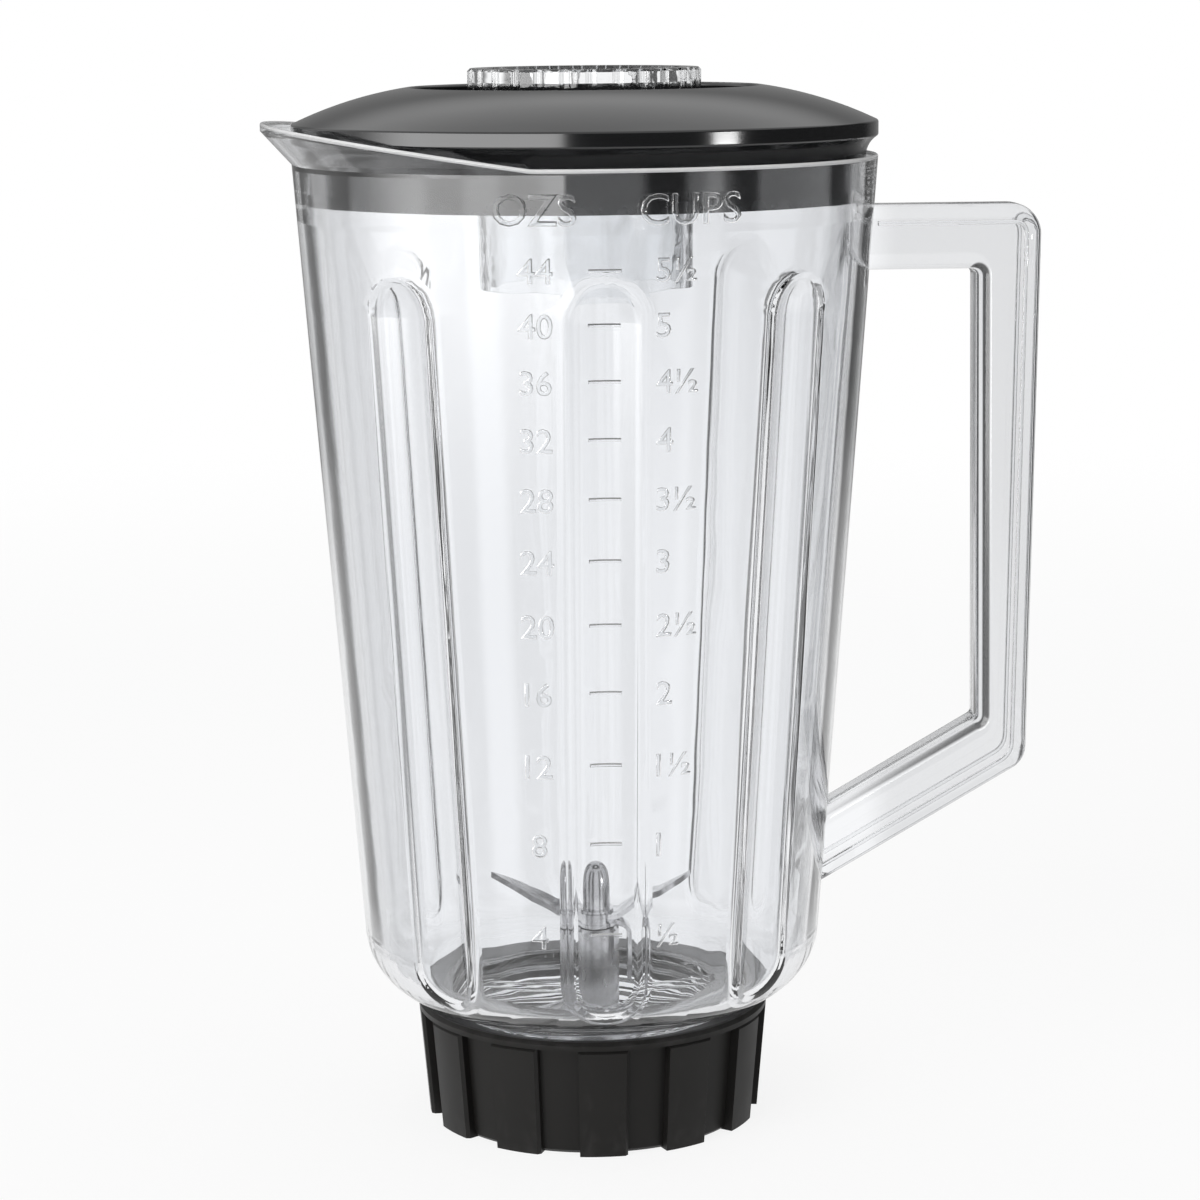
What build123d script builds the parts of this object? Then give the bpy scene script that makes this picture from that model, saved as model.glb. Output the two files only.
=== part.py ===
from build123d import *
import os
from math import cos, radians, sin, tan

# Blender jar with its lid, filler cap, screw collar and spinning cutter.
# Millimetres. The origin lies on the jar's axis in the plane of the collar's foot, with +Z up,
# the handle towards +X, the spout towards -X and the measuring scale towards -Y.

# Fits between pieces
thread_clearance = 0.4
lid_clearance = 0.3
cap_clearance = 0.4
press_clearance = 0.02
running_clearance = 0.04
spin_gap = 0.3
collar_gap = 1.6

# Screw collar
collar_height = 27.0
collar_top_wall = 7.4
collar_foot_wall = 5.1
collar_lip = 3.5
collar_ledge = 7.0
collar_rim = 2.0
collar_edge = 0.8
collar_land = 0.9
rib_count = 12
rib_angle = 16.4
rib_height = 2.2
rib_edge = 0.7

# Clamped stack between collar and jar
flange_thickness = 2.5
gasket_thickness = 2.0
gasket_width = 3.6

# Jar: neck, floor, shoulder, wall and rim
neck_r = 32.5
neck_wall = 4.0
floor_slope = 16.0
shoulder_r = 16.0
wall_slope = 4.15
wall = 3.0
jar_height = 210.6
rim_r = 64.8
mouth_wall = 3.2
ledge_depth = 13.0

# Jar: pouring spout
spout_slope = 8.0
spout_start = 15.0
spout_flare = 6.7
spout_swell = 0.7
spout_root_drop = 2.0
spout_heel_drop = 0.8
spout_height = 6.6
spout_wall = 2.5
spout_step = 0.2

# Jar: inward flutes, three on the scale side and three behind
flute_r = 14.0
flute_depth = 2.6
flute_top_drop = 18.1
flute_spread = 43.0
flute_edge = 2.4

# Jar: handle moulded with the wall
handle_depth = 13.0
handle_round = 4.0
handle_reach = 37.2
handle_lean = 2.0
handle_top_drop = 11.1
handle_arm = 14.5
handle_grip = 15.0
handle_heel_grip = 12.0
handle_bay_drop = 128.1
handle_foot = 10.5
handle_slope = 30.0
handle_crown_r = 7.0
handle_heel_r = 6.0
handle_bay_r = 1.5

# Lid
lid_wall = 3.0
lid_skirt = 4.6
lid_band = 3.2
lid_band_round = 0.6
lid_seat = 0.5
lid_dome_rise = 7.9
lid_dome_bulge = 1.1
lid_plug_depth = 9.0
lid_plug_wall = 3.2
lid_bead = 2.6
lid_bead_step = 0.6
well_r = 38.5
well_depth = 7.1
well_wall = 2.5
well_floor = 2.4
well_edge = 0.8
sleeve_depth = 9.2
sleeve_wall = 2.0

# Filler cap
cap_rim_r = 25.8
cap_rim_height = 11.0
cap_rim_edge = 0.6
cap_body_r = 24.3
cap_foot_r = 23.6
cap_drop = 37.2
cap_wall = 2.0
cap_top = 2.4
cap_dish_r = 21.5
cap_dish = 0.6
cap_grips = 28
cap_grip_r = 1.6
cap_grip_depth = 0.7

# Bearing housing with its tower
housing_height = 39.7
housing_wall = 2.6
cone_gap = 2.5
cone_rise = 16.0
tower_r = 6.7
tower_foot_round = 4.0
tower_edge = 0.7
boss_r = 8.2
boss_drop = 27.2
bearing_r = 5.0
bushing_length = 8.5
seal_length = 3.5
seal_groove = 0.7
seal_lip = 1.0

# Spindle and the pieces on its lower end
spindle_r = 3.175
stem_r = 2.5
stem_flats = 4.0
stem_grip = 7.0
thrust_r = 5.8
thrust_thickness = 0.7
clip_r = 5.2
clip_thickness = 0.9
clip_groove = 0.5
clip_opening = 3.6
slinger_r = 8.0
slinger_thickness = 0.8
coupling_r = 9.5
coupling_height = 12.2
coupling_grip = 4.6
coupling_edge = 0.6
socket_depth = 6.4
socket_r = 5.4
socket_splines = 6
spline_r = 1.3

# Cutter above the tower
spacer_r = 5.8
spacer_thickness = 0.8
blade_thickness = 1.2
blade_bend = 1.5
blade_hub_r = 5.6
sweep_span = 22.8
sweep_root = 6.6
sweep_angle = 29.0
sweep_width = 8.0
sweep_tip = 2.2
sweep_turn = -9.0
wing_up_x = 6.7
wing_up_y = 9.8
wing_up_length = 6.5
wing_down_x = 8.7
wing_down_y = 6.4
wing_down_length = 12.5
wing_width = 4.6
wing_point = 4.0
nut_washer_r = 5.1
nut_washer_thickness = 0.6
nut_r = 4.05
nut_height = 10.8
nut_skirt = 3.4

# Heights that follow from the clamped stack
flange_z = collar_lip
gasket_z = flange_z + flange_thickness
neck_z = gasket_z + gasket_thickness
rim_z = neck_z + jar_height
tower_z = flange_z + housing_height
boss_z = tower_z - boss_drop
spacer_z = tower_z + spin_gap
wing_z = spacer_z + spacer_thickness
sweep_z = wing_z + blade_thickness
nut_washer_z = sweep_z + blade_thickness
nut_z = nut_washer_z + nut_washer_thickness
thrust_z = boss_z - thrust_thickness
clip_z = thrust_z - spin_gap - clip_thickness
slinger_z = clip_z - slinger_thickness
coupling_z = slinger_z - coupling_height
spindle_z = slinger_z - coupling_grip

# Radii that follow from the neck
neck_bore_r = neck_r - neck_wall
thread_bore_r = neck_r + thread_clearance
collar_top_r = thread_bore_r + collar_top_wall
collar_foot_r = thread_bore_r + collar_foot_wall
collar_mouth_r = neck_r - collar_ledge
cone_r = neck_bore_r - cone_gap

# Jar outline that the cavity, the flutes and the collar share. The floor stays clear of the collar,
# and the shoulder's centre lies one shoulder radius inside both the wall and the floor.
taper = radians(wall_slope)
floor_angle = radians(floor_slope)
dish_r = collar_top_r - collar_edge - collar_land
axis_wall_r = rim_r - rim_z * tan(taper)
axis_floor_z = collar_height + collar_gap - dish_r * tan(floor_angle)
shoulder_x = (
    axis_wall_r + (axis_floor_z + shoulder_r / cos(floor_angle)) * tan(taper) - shoulder_r / cos(taper)
) / (1 - tan(floor_angle) * tan(taper))
shoulder_z = axis_floor_z + shoulder_x * tan(floor_angle) + shoulder_r / cos(floor_angle)
mouth_r = rim_r - mouth_wall
ledge_z = rim_z - ledge_depth
spout_top = rim_z + spout_height
spout_reach = rim_r + spout_flare
spout_r = rim_r + spout_swell
spout_x = spout_r - spout_reach
spout_rise = (spout_reach - spout_start) * tan(radians(spout_slope))
lip_z = rim_z + 2 * spout_rise


def wall_radius(z):
    return rim_r - (rim_z - z) * tan(taper)


def shoulder_point(radius, angle):
    return (shoulder_x + radius * cos(angle), shoulder_z - radius * sin(angle))


def shoulder_arc(radius):
    low = radians(90) - floor_angle
    return ThreePointArc(
        shoulder_point(radius, taper),
        shoulder_point(radius, (taper + low) / 2),
        shoulder_point(radius, low),
    )


def floor_height(radius, r):
    edge = shoulder_point(radius, radians(90) - floor_angle)
    return edge[1] - (edge[0] - r) * tan(floor_angle)


def flute_tool(radius):
    # A round-ended rod that lies along the wall's slope on the scale side
    z = rim_z - flute_top_drop - flute_r
    out = wall_radius(z) + (flute_r - flute_depth) / cos(taper)
    place = Plane(origin=(0, -out, z), z_dir=(0, -sin(taper), cos(taper)))
    with BuildPart(place) as rod:
        Sphere(radius)
        Cylinder(radius, z, align=(Align.CENTER, Align.CENTER, Align.MAX))
    return rod.part


flute_turns = [side + turn for side in (0, 180) for turn in (-flute_spread, 0, flute_spread)]
flute_places = [Rotation(0, 0, turn) for turn in flute_turns]


def spout_loft(root_r, root_z, lip_r):
    # Flare from the mouth's circle to the wider circle of the spout, then straight up past the lip
    with BuildPart() as flare:
        with BuildSketch(Plane.XY.offset(root_z)):
            Circle(root_r)
        with BuildSketch(Plane.XY.offset(spout_top)):
            with Locations((spout_x, 0)):
                Circle(lip_r)
        loft()
        extrude(flare.faces().sort_by(Axis.Z)[-1], amount=lip_z - spout_top)
    return flare.part


# The hollow of the jar: mouth, wall, floor and the way down through the neck
with BuildPart() as hollow:
    with BuildSketch(Plane.XZ):
        inner_shoulder = shoulder_r - wall
        ledge_r = wall_radius(ledge_z) - wall / cos(taper)
        with BuildLine():
            bend = shoulder_arc(inner_shoulder)
            Polyline(
                bend @ 1,
                (neck_bore_r, floor_height(inner_shoulder, neck_bore_r)),
                (neck_bore_r, 0),
                (0, 0),
                (0, lip_z),
                (mouth_r, lip_z),
                (mouth_r, ledge_z),
                (ledge_r, ledge_z),
                bend @ 0,
            )
        make_face()
    revolve(axis=Axis.Z)
    with Locations(*flute_places):
        add(flute_tool(flute_r + wall), mode=Mode.SUBTRACT)
    fillet(hollow.edges(Select.NEW), flute_edge + wall)
    add(spout_loft(mouth_r - spout_step, rim_z - spout_root_drop, spout_r - spout_wall))

# Handle loop, seen from the scale side
with BuildPart() as handle:
    handle_x = rim_r + handle_reach
    heel_x = handle_x - handle_lean
    bay_x = heel_x - handle_heel_grip
    root_x = wall_radius(shoulder_z) - wall
    handle_top = rim_z - handle_top_drop
    arm_z = handle_top - handle_arm
    bay_z = rim_z - handle_bay_drop
    heel_z = bay_z - handle_foot
    heel_root_z = heel_z - (heel_x - root_x) * tan(radians(handle_slope))
    bay_root_z = bay_z - (bay_x - root_x) * tan(radians(handle_slope))
    with BuildSketch(Plane.XZ):
        with BuildLine():
            FilletPolyline(
                (root_x, handle_top),
                (handle_x, handle_top),
                (heel_x, heel_z),
                (root_x, heel_root_z),
                radius=(handle_crown_r, handle_heel_r),
            )
            Line((root_x, heel_root_z), (root_x, handle_top))
        make_face()
        with BuildLine():
            FilletPolyline(
                (root_x, arm_z),
                (handle_x - handle_grip, arm_z),
                (bay_x, bay_z),
                (root_x, bay_root_z),
                radius=handle_bay_r,
            )
            Line((root_x, bay_root_z), (root_x, arm_z))
        make_face(mode=Mode.SUBTRACT)
    extrude(amount=handle_depth / 2, both=True)
    fillet(handle.faces().filter_by(Axis.Y).edges(), handle_round)

# Jar body with rim, spout, flutes and handle in one moulding
with BuildPart() as jar:
    with BuildSketch(Plane.XZ):
        with BuildLine():
            bend = shoulder_arc(shoulder_r)
            Polyline(
                bend @ 1,
                (neck_r, floor_height(shoulder_r, neck_r)),
                (neck_r, neck_z),
                (0, neck_z),
                (0, lip_z),
                (rim_r, lip_z),
                (rim_r, rim_z),
                bend @ 0,
            )
        make_face()
    revolve(axis=Axis.Z)
    with Locations(*flute_places):
        add(flute_tool(flute_r), mode=Mode.SUBTRACT)
    fillet(jar.edges(Select.NEW), flute_edge)
    add(spout_loft(wall_radius(rim_z - spout_heel_drop), rim_z - spout_heel_drop, spout_r))
    add(handle.part)
    add(hollow.part, mode=Mode.SUBTRACT)
    with BuildSketch(Plane.XZ):
        far = 2 * spout_reach
        with BuildLine():
            Polyline(
                (far, rim_z),
                (-spout_start, rim_z),
                (-far, rim_z + (far - spout_start) * tan(radians(spout_slope))),
                (-far, rim_z + far),
                (far, rim_z + far),
                close=True,
            )
        make_face()
    extrude(amount=far, both=True, mode=Mode.SUBTRACT)

# Screw collar: a ribbed nut whose lip clamps housing and gasket to the neck
def collar_radius(z):
    return collar_foot_r + (collar_top_r - collar_foot_r) * z / collar_height


with BuildPart() as rib:
    with BuildSketch(Plane.XZ):
        top = collar_height - collar_rim
        with BuildLine():
            Polyline(
                (thread_bore_r, 0),
                (collar_radius(0), 0),
                (collar_radius(top), top),
                (thread_bore_r, top),
                close=True,
            )
        make_face()
    revolve(axis=Axis.Z, revolution_arc=rib_angle)
    chamfer(rib.edges().sort_by(lambda edge: edge.center().X ** 2 + edge.center().Y ** 2)[-2:], rib_edge)

with BuildPart() as collar:
    with BuildSketch(Plane.XZ):
        top = collar_height - collar_rim
        with BuildLine():
            Polyline(
                (collar_mouth_r, 0),
                (collar_radius(0) - rib_height - collar_edge, 0),
                (collar_radius(collar_edge) - rib_height, collar_edge),
                (collar_radius(top) - rib_height, top),
                (collar_radius(top), top),
                (collar_radius(collar_height - collar_edge), collar_height - collar_edge),
                (collar_top_r - collar_edge, collar_height),
                (dish_r, collar_height),
                (thread_bore_r, floor_height(shoulder_r, thread_bore_r) - collar_gap),
                (thread_bore_r, collar_lip),
                (collar_mouth_r, collar_lip),
                close=True,
            )
        make_face()
    revolve(axis=Axis.Z)
    with PolarLocations(0, rib_count, start_angle=-90 - rib_angle / 2):
        add(rib.part)

# Gasket under the neck
with BuildPart() as gasket:
    with BuildSketch(Plane.XY.offset(gasket_z)):
        Circle(neck_r)
        Circle(neck_r - gasket_width, mode=Mode.SUBTRACT)
    extrude(amount=gasket_thickness)

# Bearing housing: clamped flange, cone and tower
with BuildPart() as housing:
    with BuildSketch(Plane.XZ) as section:
        slope = cone_rise / (cone_r - tower_r)
        drop = housing_wall * (1 + slope ** 2) ** 0.5
        lip_r = cone_r - (flange_z + drop - gasket_z) / slope
        with BuildLine():
            Polyline(
                (neck_r, flange_z),
                (neck_r, gasket_z),
                (cone_r, gasket_z),
                (tower_r, gasket_z + cone_rise),
                (tower_r, tower_z - tower_edge),
                (tower_r - tower_edge, tower_z),
                (bearing_r, tower_z),
                (bearing_r, boss_z),
                (boss_r, boss_z),
                (boss_r, gasket_z + slope * (cone_r - boss_r) - drop),
                (lip_r, flange_z),
                close=True,
            )
        make_face()
        foot = (tower_r, gasket_z + cone_rise)
        fillet(section.vertices().sort_by_distance(foot)[:1], tower_foot_round)
    revolve(axis=Axis.Z)


def ring(outer_r, inner_r, z, height):
    with BuildPart() as piece:
        with BuildSketch(Plane.XY.offset(z)):
            Circle(outer_r)
            Circle(inner_r, mode=Mode.SUBTRACT)
        extrude(amount=height)
    return piece


# Bearings, felt and seal in the tower, and the washer under its boss
shaft_bore_r = spindle_r + running_clearance
seat_r = bearing_r - press_clearance
upper_bushing_z = tower_z - seal_length - bushing_length
lower_bushing = ring(seat_r, shaft_bore_r, boss_z, bushing_length)
oil_felt = ring(seat_r, shaft_bore_r, boss_z + bushing_length, upper_bushing_z - boss_z - bushing_length)
upper_bushing = ring(seat_r, shaft_bore_r, upper_bushing_z, bushing_length)
thrust_washer = ring(thrust_r, shaft_bore_r, thrust_z, thrust_thickness)

with BuildPart() as seal:
    with BuildSketch(Plane.XZ):
        low = tower_z - seal_length
        with BuildLine():
            Polyline(
                (shaft_bore_r, low),
                (seat_r, low),
                (seat_r, tower_z),
                (shaft_bore_r + seal_groove, tower_z),
                (shaft_bore_r + seal_groove, low + 2 * seal_lip),
                (shaft_bore_r, low + seal_lip),
                close=True,
            )
        make_face()
    revolve(axis=Axis.Z)

# Spindle: plain shaft with a clip groove below and a flatted stem above
with BuildPart() as spindle:
    with BuildSketch(Plane.XY.offset(spindle_z)):
        Circle(spindle_r)
    extrude(amount=spacer_z - spindle_z)
    with BuildSketch(Plane.XY.offset(spacer_z)):
        Circle(stem_r)
        Rectangle(2 * stem_r, stem_flats, mode=Mode.INTERSECT)
    extrude(amount=nut_z + stem_grip - spacer_z)
    with BuildSketch(Plane.XY.offset(clip_z)):
        Circle(spindle_r)
        Circle(spindle_r - clip_groove, mode=Mode.SUBTRACT)
    extrude(amount=clip_thickness, mode=Mode.SUBTRACT)

# Open clip in the groove, slinger and coupling below it
with BuildPart() as clip:
    with BuildSketch(Plane.XY.offset(clip_z)):
        Circle(clip_r)
        Circle(spindle_r - clip_groove + press_clearance, mode=Mode.SUBTRACT)
        with Locations((clip_r, 0)):
            Rectangle(2 * clip_r, clip_opening, mode=Mode.SUBTRACT)
    extrude(amount=clip_thickness)

slinger = ring(slinger_r, spindle_r + press_clearance, slinger_z, slinger_thickness)

with BuildPart() as coupling:
    with BuildSketch(Plane.XY.offset(coupling_z)):
        Circle(coupling_r)
    extrude(amount=coupling_height)
    chamfer(coupling.edges().filter_by(GeomType.CIRCLE), coupling_edge)
    with BuildSketch(Plane.XY.offset(spindle_z)):
        Circle(spindle_r + press_clearance)
    extrude(amount=coupling_grip, mode=Mode.SUBTRACT)
    with BuildSketch(Plane.XY.offset(coupling_z)):
        Circle(socket_r)
        with PolarLocations(socket_r, socket_splines):
            Circle(spline_r)
    extrude(amount=socket_depth, mode=Mode.SUBTRACT)


def stem_hole(z, height):
    # Hole that fits the flatted stem, cut from the piece being built
    with BuildSketch(Plane.XY.offset(z)) as hole:
        Circle(stem_r + press_clearance)
        Rectangle(4 * stem_r, stem_flats + 2 * press_clearance, mode=Mode.INTERSECT)
    extrude(hole.sketch, amount=height, mode=Mode.SUBTRACT)


# Spacer washer on the spindle's shoulder
with BuildPart() as spacer:
    with BuildSketch(Plane.XY.offset(spacer_z)):
        Circle(spacer_r)
    extrude(amount=spacer_thickness)
    stem_hole(spacer_z, spacer_thickness)

# Wing blade: a flat bar with one end turned up and the other turned down
with BuildPart() as wing_blade:
    top = wing_z + blade_thickness
    with BuildSketch(Plane.XZ):
        with BuildLine() as wing_edge:
            FilletPolyline(
                (-wing_up_x, top + wing_up_length),
                (-wing_up_x, wing_z),
                (wing_down_x, wing_z),
                (wing_down_x, wing_z - wing_down_length),
                radius=(blade_bend + blade_thickness, blade_bend),
            )
            offset(amount=blade_thickness, side=Side.LEFT)
        make_face()
    extrude(amount=2 * sweep_span, both=True)
    with BuildSketch(Plane.XY.offset(wing_z - 2 * sweep_span)):
        with BuildLine():
            Polyline(
                (-2 * wing_up_x, wing_up_y + wing_width / 2),
                (-wing_up_x, wing_up_y + wing_width / 2),
                (wing_down_x, -wing_down_y + wing_width / 2),
                (2 * wing_down_x, -wing_down_y + wing_width / 2),
                (2 * wing_down_x, -wing_down_y - wing_width / 2),
                (wing_down_x, -wing_down_y - wing_width / 2),
                (-wing_up_x, wing_up_y - wing_width / 2),
                (-2 * wing_up_x, wing_up_y - wing_width / 2),
                close=True,
            )
        make_face()
    extrude(amount=4 * sweep_span, mode=Mode.INTERSECT)
    with BuildSketch(Plane.YZ):
        with Locations((0, wing_z + blade_thickness / 2)):
            Rectangle(4 * sweep_span, 2 * blade_bend + 3 * blade_thickness)
        with BuildLine():
            Polyline(
                (wing_up_y - wing_width / 2, wing_z),
                (wing_up_y + wing_width / 2, wing_z),
                (wing_up_y + wing_width / 2, top + wing_up_length - wing_point),
                (wing_up_y, top + wing_up_length),
                (wing_up_y - wing_width / 2, top + wing_up_length - wing_point),
                close=True,
            )
        make_face()
        with BuildLine():
            Polyline(
                (-wing_down_y - wing_width / 2, wing_z),
                (-wing_down_y + wing_width / 2, wing_z),
                (-wing_down_y + wing_width / 2, wing_z - wing_down_length + wing_point),
                (-wing_down_y, wing_z - wing_down_length),
                (-wing_down_y - wing_width / 2, wing_z - wing_down_length + wing_point),
                close=True,
            )
        make_face()
    extrude(amount=2 * sweep_span, both=True, mode=Mode.INTERSECT)
    with BuildSketch(Plane.XY.offset(wing_z)):
        Circle(blade_hub_r)
    extrude(amount=blade_thickness)
    stem_hole(wing_z, blade_thickness)

# Sweep blade: two long arms swept up, each with one straight edge ground to a point
with BuildPart() as sweep_blank:
    far_z = sweep_z + (2 * sweep_span - sweep_root) * tan(radians(sweep_angle))
    with BuildSketch(Plane.XZ):
        with BuildLine():
            FilletPolyline(
                (-2 * sweep_span, far_z),
                (-sweep_root, sweep_z),
                (sweep_root, sweep_z),
                (2 * sweep_span, far_z),
                radius=blade_bend + blade_thickness,
            )
            offset(amount=blade_thickness, side=Side.LEFT)
        make_face()
    extrude(amount=sweep_width, both=True)
    with BuildSketch(Plane.XY.offset(sweep_z)):
        Circle(blade_hub_r)
        for turn in (0, 180):
            with BuildSketch(mode=Mode.PRIVATE) as arm:
                with BuildLine():
                    tip = (sweep_span, sweep_tip)
                    Polyline((0, -sweep_width / 2), (0, sweep_width / 2), (sweep_root, sweep_width / 2), tip)
                    TangentArc(tip, (sweep_root, -sweep_width / 2), tangent=(-1, -1))
                    Line((sweep_root, -sweep_width / 2), (0, -sweep_width / 2))
                make_face()
            with Locations(Rotation(0, 0, turn)):
                add(arm.sketch)
    extrude(amount=2 * sweep_span, mode=Mode.INTERSECT)

with BuildPart() as sweep_blade:
    with Locations(Rotation(0, 0, sweep_turn)):
        add(sweep_blank.part)
    stem_hole(sweep_z, blade_thickness)

# Washer and dome nut that close the stack
with BuildPart() as nut_washer:
    with BuildSketch(Plane.XY.offset(nut_washer_z)):
        Circle(nut_washer_r)
    extrude(amount=nut_washer_thickness)
    stem_hole(nut_washer_z, nut_washer_thickness)

with BuildPart() as dome_nut:
    with BuildSketch(Plane.XZ):
        thread_r = stem_r + press_clearance
        with BuildLine():
            skirt = Polyline(
                (thread_r, nut_z + stem_grip),
                (thread_r, nut_z),
                (nut_r, nut_z),
                (nut_r, nut_z + nut_skirt),
            )
            crown = Spline(skirt @ 1, (0, nut_z + nut_height), tangents=((0, 1), (-1, 0)))
            Polyline(crown @ 1, (0, nut_z + stem_grip), skirt @ 0)
        make_face()
    revolve(axis=Axis.Z)

# Lid: domed shell with a finger well, a brim and a plug that stands in the mouth
plug_r = mouth_r - lid_clearance - lid_bead_step
band_low = rim_z + lid_skirt
band_top = band_low + lid_band
dome_top = band_top + lid_dome_rise
well_z = dome_top - well_depth
sleeve_r = cap_body_r + cap_clearance


def dome_arc(start, end):
    middle = ((start[0] + end[0]) / 2, (start[1] + end[1]) / 2 + lid_dome_bulge)
    return ThreePointArc(start, middle, end)


with BuildPart() as lid:
    with BuildSketch(Plane.XZ) as section:
        fall = lid_dome_rise / (rim_r - well_r)
        plug_in = plug_r - lid_plug_wall
        wall_r = well_r + well_wall
        with BuildLine():
            brim = TangentArc((mouth_r + lid_seat, rim_z), (rim_r, band_low), tangent=(0, 1))
            Line((rim_r, band_low), (rim_r, band_top))
            dome_arc((rim_r, band_top), (well_r, dome_top))
            Polyline(
                (well_r, dome_top),
                (well_r, well_z),
                (sleeve_r, well_z),
                (sleeve_r, well_z - well_floor - sleeve_depth),
                (sleeve_r + sleeve_wall, well_z - well_floor - sleeve_depth),
                (sleeve_r + sleeve_wall, well_z - well_floor),
                (wall_r, well_z - well_floor),
                (wall_r, dome_top - lid_wall - fall * well_wall),
            )
            dome_arc(
                (wall_r, dome_top - lid_wall - fall * well_wall),
                (plug_in, dome_top - lid_wall - fall * (plug_in - well_r)),
            )
            Polyline(
                (plug_in, dome_top - lid_wall - fall * (plug_in - well_r)),
                (plug_in, rim_z - lid_plug_depth),
                (mouth_r - lid_clearance, rim_z - lid_plug_depth),
                (mouth_r - lid_clearance, rim_z - lid_plug_depth + lid_bead),
                (plug_r, rim_z - lid_plug_depth + lid_bead),
                (plug_r, rim_z),
                brim @ 0,
            )
        make_face()
        for corner in ((rim_r, band_low), (rim_r, band_top)):
            fillet(section.vertices().sort_by_distance(corner)[:1], lid_band_round)
        fillet(section.vertices().sort_by_distance((well_r, dome_top))[:1], well_edge)
    revolve(axis=Axis.Z)

# Filler cap: a clear cup, closed on top, with a scalloped rim
with BuildPart() as cap:
    cap_z = well_z + cap_rim_height
    with BuildSketch(Plane.XZ):
        with BuildLine():
            Polyline(
                (cap_foot_r, well_z - cap_drop),
                (cap_body_r, well_z),
                (cap_rim_r, well_z),
                (cap_rim_r, cap_z - cap_rim_edge),
                (cap_rim_r - cap_rim_edge, cap_z),
                (cap_dish_r, cap_z),
                (cap_dish_r - cap_dish, cap_z - cap_dish),
                (0, cap_z - cap_dish),
                (0, cap_z - cap_dish - cap_top),
                (cap_body_r - cap_wall, cap_z - cap_dish - cap_top),
                (cap_body_r - cap_wall, well_z),
                (cap_foot_r - cap_wall, well_z - cap_drop),
                close=True,
            )
        make_face()
    revolve(axis=Axis.Z)
    with BuildSketch(Plane.XY.offset(well_z)):
        with PolarLocations(cap_rim_r + cap_grip_r - cap_grip_depth, cap_grips):
            Circle(cap_grip_r)
    extrude(amount=cap_rim_height, mode=Mode.SUBTRACT)

os.makedirs("parts", exist_ok=True)
jar.part.label = "jar_body"
export_step(jar.part, "parts/jar_body.step")
collar.part.label = "retaining_collar"
export_step(collar.part, "parts/retaining_collar.step")
gasket.part.label = "jar_gasket"
export_step(gasket.part, "parts/jar_gasket.step")
housing.part.label = "bearing_housing"
export_step(housing.part, "parts/bearing_housing.step")
lower_bushing.part.label = "lower_bushing"
export_step(lower_bushing.part, "parts/lower_bushing.step")
oil_felt.part.label = "oil_felt"
export_step(oil_felt.part, "parts/oil_felt.step")
upper_bushing.part.label = "upper_bushing"
export_step(upper_bushing.part, "parts/upper_bushing.step")
seal.part.label = "shaft_seal"
export_step(seal.part, "parts/shaft_seal.step")
thrust_washer.part.label = "thrust_washer"
export_step(thrust_washer.part, "parts/thrust_washer.step")
spindle.part.label = "spindle"
export_step(spindle.part, "parts/spindle.step")
clip.part.label = "retaining_clip"
export_step(clip.part, "parts/retaining_clip.step")
slinger.part.label = "slinger_washer"
export_step(slinger.part, "parts/slinger_washer.step")
coupling.part.label = "drive_coupling"
export_step(coupling.part, "parts/drive_coupling.step")
spacer.part.label = "spacer_washer"
export_step(spacer.part, "parts/spacer_washer.step")
wing_blade.part.label = "wing_blade"
export_step(wing_blade.part, "parts/wing_blade.step")
sweep_blade.part.label = "sweep_blade"
export_step(sweep_blade.part, "parts/sweep_blade.step")
nut_washer.part.label = "nut_washer"
export_step(nut_washer.part, "parts/nut_washer.step")
dome_nut.part.label = "dome_nut"
export_step(dome_nut.part, "parts/dome_nut.step")
lid.part.label = "lid"
export_step(lid.part, "parts/lid.step")
cap.part.label = "filler_cap"
export_step(cap.part, "parts/filler_cap.step")
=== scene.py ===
"""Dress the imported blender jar: its finishes, the moulded measuring scale, the studio and the camera."""

from __future__ import annotations

import logging
import math
from collections.abc import Iterable
from dataclasses import dataclass
from enum import Enum
from functools import cache

import bmesh
import bpy
from mathutils import Matrix, Vector
from mathutils.bvhtree import BVHTree


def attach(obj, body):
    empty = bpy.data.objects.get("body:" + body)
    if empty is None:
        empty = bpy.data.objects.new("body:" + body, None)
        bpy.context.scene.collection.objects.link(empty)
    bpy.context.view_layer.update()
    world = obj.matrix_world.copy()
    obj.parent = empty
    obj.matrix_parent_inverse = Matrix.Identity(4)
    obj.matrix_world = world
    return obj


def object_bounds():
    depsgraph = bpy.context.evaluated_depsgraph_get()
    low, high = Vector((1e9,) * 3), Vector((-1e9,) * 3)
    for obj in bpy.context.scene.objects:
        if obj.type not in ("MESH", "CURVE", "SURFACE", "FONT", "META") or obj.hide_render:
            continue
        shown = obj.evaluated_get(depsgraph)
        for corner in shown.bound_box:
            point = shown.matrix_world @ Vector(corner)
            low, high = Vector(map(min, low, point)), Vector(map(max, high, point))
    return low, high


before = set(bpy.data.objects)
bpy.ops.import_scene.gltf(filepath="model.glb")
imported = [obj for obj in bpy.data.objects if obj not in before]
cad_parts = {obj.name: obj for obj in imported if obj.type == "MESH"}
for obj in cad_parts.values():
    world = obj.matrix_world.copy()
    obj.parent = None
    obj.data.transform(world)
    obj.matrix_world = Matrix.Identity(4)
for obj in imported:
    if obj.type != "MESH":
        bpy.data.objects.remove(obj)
CAD_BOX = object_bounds()

MM = 0.001
LOG = logging.getLogger("blender_jar")
# Power of an area lamp for each square metre of its face and unit of its brightness
LAMP_POWER = 4.0

Socket = bpy.types.NodeSocket
Colour = tuple[float, float, float]
Feeds = dict[str | int, Socket | float | Colour]
WHITE: Colour = (1.0, 1.0, 1.0)


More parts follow.
